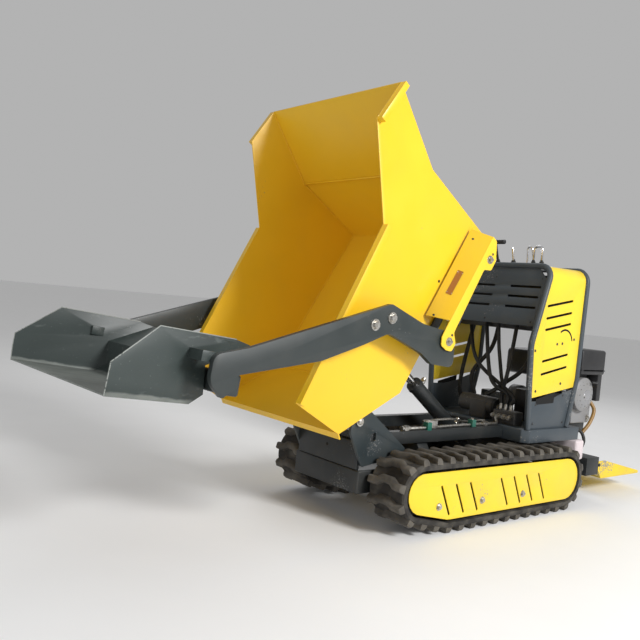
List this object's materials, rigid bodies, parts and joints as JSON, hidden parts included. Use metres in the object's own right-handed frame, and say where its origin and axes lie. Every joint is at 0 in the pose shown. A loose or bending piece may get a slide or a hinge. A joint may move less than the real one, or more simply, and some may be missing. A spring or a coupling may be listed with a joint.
{
  "type": "tracked mini dumper",
  "caption": "Rubber-tracked mini dumper with a forward-tipping skip, a self-loading shovel on two lifting arms, a slotted control tower, a rear engine and a fold-up step.",
  "frame": {"origin": "the middle of the whole machine's box on the ground, with the skip tipped and the shovel out in front", "axes": "front (shovel and the skip's lip) along -Y, the machine's left side +X, up +Z"},
  "size_m": [0.9046, 3.0827, 1.5944],
  "materials": {
    "black_paint": "satin black paint",
    "track_rubber": "dusty rubber",
    "cast_iron": "bare casting",
    "yellow_paint": "gloss yellow paint",
    "slate_paint": "satin slate paint",
    "shovel_grey": "worn dark grey paint",
    "chrome": "polished",
    "silver_metal": "satin",
    "black_plastic": "matt",
    "tank_plastic": "matt",
    "hose_rubber": "matt"
  },
  "bodies": {
    "chassis": {"deck_frame": "black_paint", "front_cross_plate": "black_paint", "front_box": "black_paint", "hinge_bracket_left": "black_paint", "hinge_bracket_right": "black_paint", "axle_beam_front": "black_paint", "axle_beam_rear": "black_paint", "track_left": "track_rubber", "track_right": "track_rubber", "track_frame_left": "black_paint", "track_frame_right": "black_paint", "front_idler_left": "cast_iron", "front_idler_right": "cast_iron", "drive_sprocket_left": "cast_iron", "drive_sprocket_right": "cast_iron", "track_cover_left": "yellow_paint", "track_cover_right": "yellow_paint", "base_tray": "slate_paint", "tower_hoop_front": "slate_paint", "tower_hoop_rear": "slate_paint", "tower_side_plate_left": "slate_paint", "tower_side_plate_right": "slate_paint", "side_panel_left": "yellow_paint", "side_panel_right": "yellow_paint", "front_panel": "slate_paint", "console_top": "slate_paint", "tip_lever": "black_plastic", "lift_lever": "chrome", "drive_handle": "chrome", "engine_bed": "black_paint", "engine_block": "cast_iron", "recoil_cover": "silver_metal", "air_cleaner": "black_plastic", "fuel_tank": "black_plastic", "muffler": "cast_iron", "hydraulic_tank": "tank_plastic", "hydraulic_pump": "cast_iron", "valve_block": "cast_iron", "side_pipe": "silver_metal", "console_hose": "hose_rubber", "rear_bar": "black_paint"},
    "skip": {"skip": "yellow_paint", "skip_subframe": "black_paint", "arm_bracket_left": "black_paint", "arm_bracket_right": "black_paint", "bracket_cover_left": "yellow_paint", "bracket_cover_right": "yellow_paint"},
    "shovel_arms": {"arm_left": "shovel_grey", "arm_right": "shovel_grey", "arm_cross_tube": "shovel_grey", "shovel": "shovel_grey"},
    "tip_barrel": {"tip_ram_barrel": "black_paint"},
    "tip_rod": {"tip_ram_rod": "chrome"},
    "arm_barrel_left": {"arm_ram_left_barrel": "black_paint"},
    "arm_rod_left": {"arm_ram_left_rod": "chrome"},
    "arm_barrel_right": {"arm_ram_right_barrel": "black_paint"},
    "arm_rod_right": {"arm_ram_right_rod": "chrome"},
    "step": {"step_platform": "yellow_paint"}
  },
  "joints": [
    {"name": "skip_tip", "type": "hinge", "parent": "chassis", "child": "skip", "pos_m": [0, -0.4588, 0.405], "axis": [-1, 0, 0], "range_deg": [0, 59]},
    {"name": "shovel_lift", "type": "hinge", "parent": "skip", "child": "shovel_arms", "pos_m": [0, -0.3116, 0.7354], "axis": [1, 0, 0], "range_deg": [-40, 70]},
    {"name": "tip_ram_swing", "type": "hinge", "parent": "chassis", "child": "tip_barrel", "pos_m": [0, 0.3612, 0.27], "axis": [1, 0, 0], "range_deg": [0, 17.2]},
    {"name": "tip_ram_slide", "type": "slide", "parent": "tip_barrel", "child": "tip_rod", "axis": [0, 0.8096, -0.587], "range_m": [0, 0.325]},
    {"name": "arm_ram_left_swing", "type": "hinge", "parent": "skip", "child": "arm_barrel_left", "pos_m": [0.3993, -0.1287, 1.0455], "axis": [1, 0, 0], "range_deg": [-3, 5.2]},
    {"name": "arm_ram_left_slide", "type": "slide", "parent": "arm_barrel_left", "child": "arm_rod_left", "axis": [0, -0.3862, -0.9224], "range_m": [-0.065, 0.038]},
    {"name": "arm_ram_right_swing", "type": "hinge", "parent": "skip", "child": "arm_barrel_right", "pos_m": [-0.3993, -0.1287, 1.0455], "axis": [1, 0, 0], "range_deg": [-3, 5.2]},
    {"name": "arm_ram_right_slide", "type": "slide", "parent": "arm_barrel_right", "child": "arm_rod_right", "axis": [0, -0.3862, -0.9224], "range_m": [-0.065, 0.038]},
    {"name": "step_fold", "type": "hinge", "parent": "chassis", "child": "step", "pos_m": [0, 1.1362, 0.15], "axis": [1, 0, 0], "range_deg": [0, 80]}
  ],
  "couplings": [
    {"joint": "tip_ram_swing", "follows": "skip_tip", "ratio": 0.2876},
    {"joint": "tip_ram_slide", "follows": "skip_tip", "m_per_rad": 0.3135},
    {"joint": "arm_ram_left_swing", "follows": "shovel_lift", "ratio": 0.0726},
    {"joint": "arm_ram_left_slide", "follows": "shovel_lift", "m_per_rad": -0.0516},
    {"joint": "arm_ram_right_swing", "follows": "shovel_lift", "ratio": 0.0726},
    {"joint": "arm_ram_right_slide", "follows": "shovel_lift", "m_per_rad": -0.0516}
  ]
}
